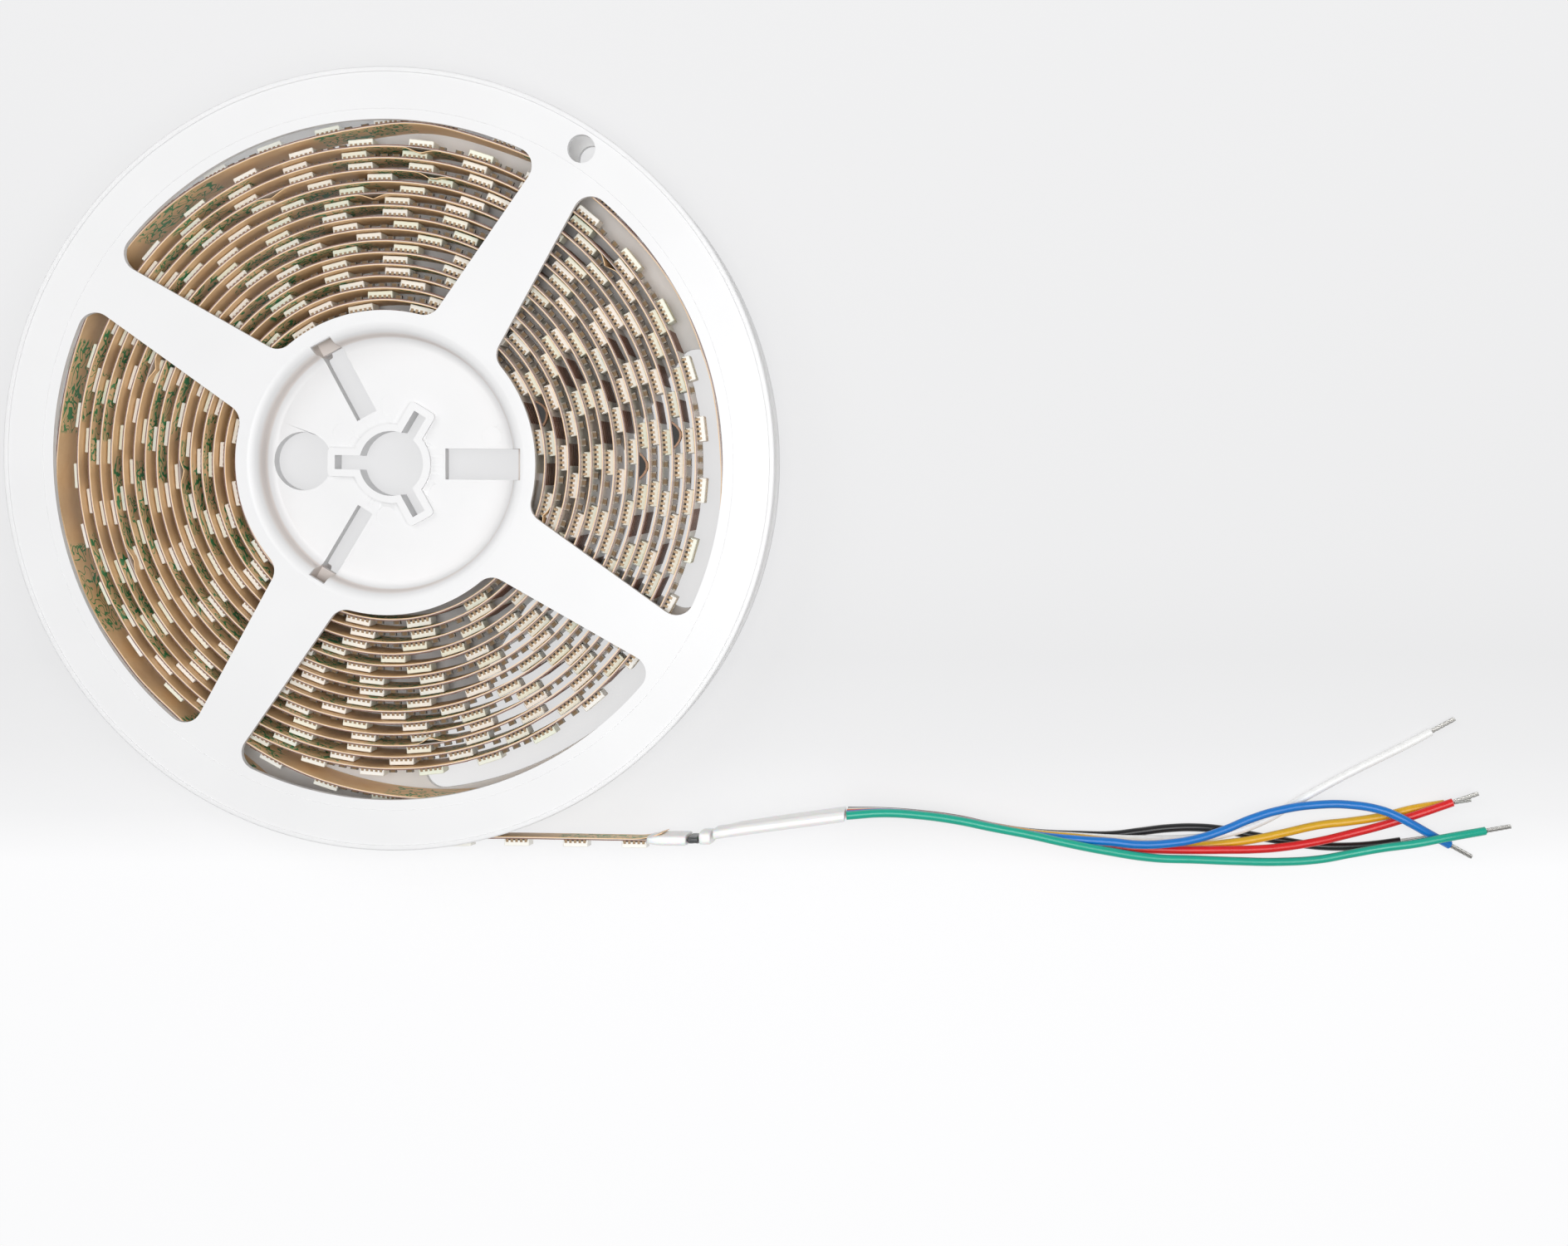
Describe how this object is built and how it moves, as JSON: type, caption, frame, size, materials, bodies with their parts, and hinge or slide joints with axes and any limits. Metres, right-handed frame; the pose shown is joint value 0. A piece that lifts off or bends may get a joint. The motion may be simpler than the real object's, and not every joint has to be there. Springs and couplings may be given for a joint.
{
  "type": "led strip light reel",
  "caption": "Moulded reel wound with a flexible LED strip whose end carries a soft cap, a shrink sleeve and six loose wires.",
  "frame": {"origin": "reel axis at the resting plane of the back flange's rim bead", "axes": "+Z along the reel axis from the back flange to the front one, +X along the strip's free end towards the wires"},
  "size_m": [0.3007, 0.1595, 0.0162],
  "materials": {
    "reel_plastic": "satin, slightly translucent white moulding",
    "strip_board": "flexible board with copper pads, white light packages and a tan paper liner",
    "end_cap": "soft white silicone, satin",
    "joint_band": "dark grey, satin",
    "shrink_sleeve": "white shrink tubing, satin, with the wires showing as ridges",
    "insulation_black": "smooth wire insulation",
    "insulation_white": "smooth wire insulation",
    "insulation_yellow": "smooth wire insulation",
    "insulation_red": "smooth wire insulation",
    "insulation_blue": "smooth wire insulation",
    "insulation_green": "smooth wire insulation",
    "tinned_core": "tinned stranded copper"
  },
  "bodies": {
    "root": {"back_half": "reel_plastic", "front_half": "reel_plastic", "led_strip": "strip_board", "strip_end_cap": "end_cap", "joint_band": "joint_band", "sleeve_cuff": "shrink_sleeve", "wire_sleeve": "shrink_sleeve", "black_wire": "insulation_black", "black_wire_end": "tinned_core", "white_wire": "insulation_white", "white_wire_end": "tinned_core", "yellow_wire": "insulation_yellow", "yellow_wire_end": "tinned_core", "red_wire": "insulation_red", "red_wire_end": "tinned_core", "blue_wire": "insulation_blue", "blue_wire_end": "tinned_core", "green_wire": "insulation_green", "green_wire_end": "tinned_core"}
  },
  "joints": []
}
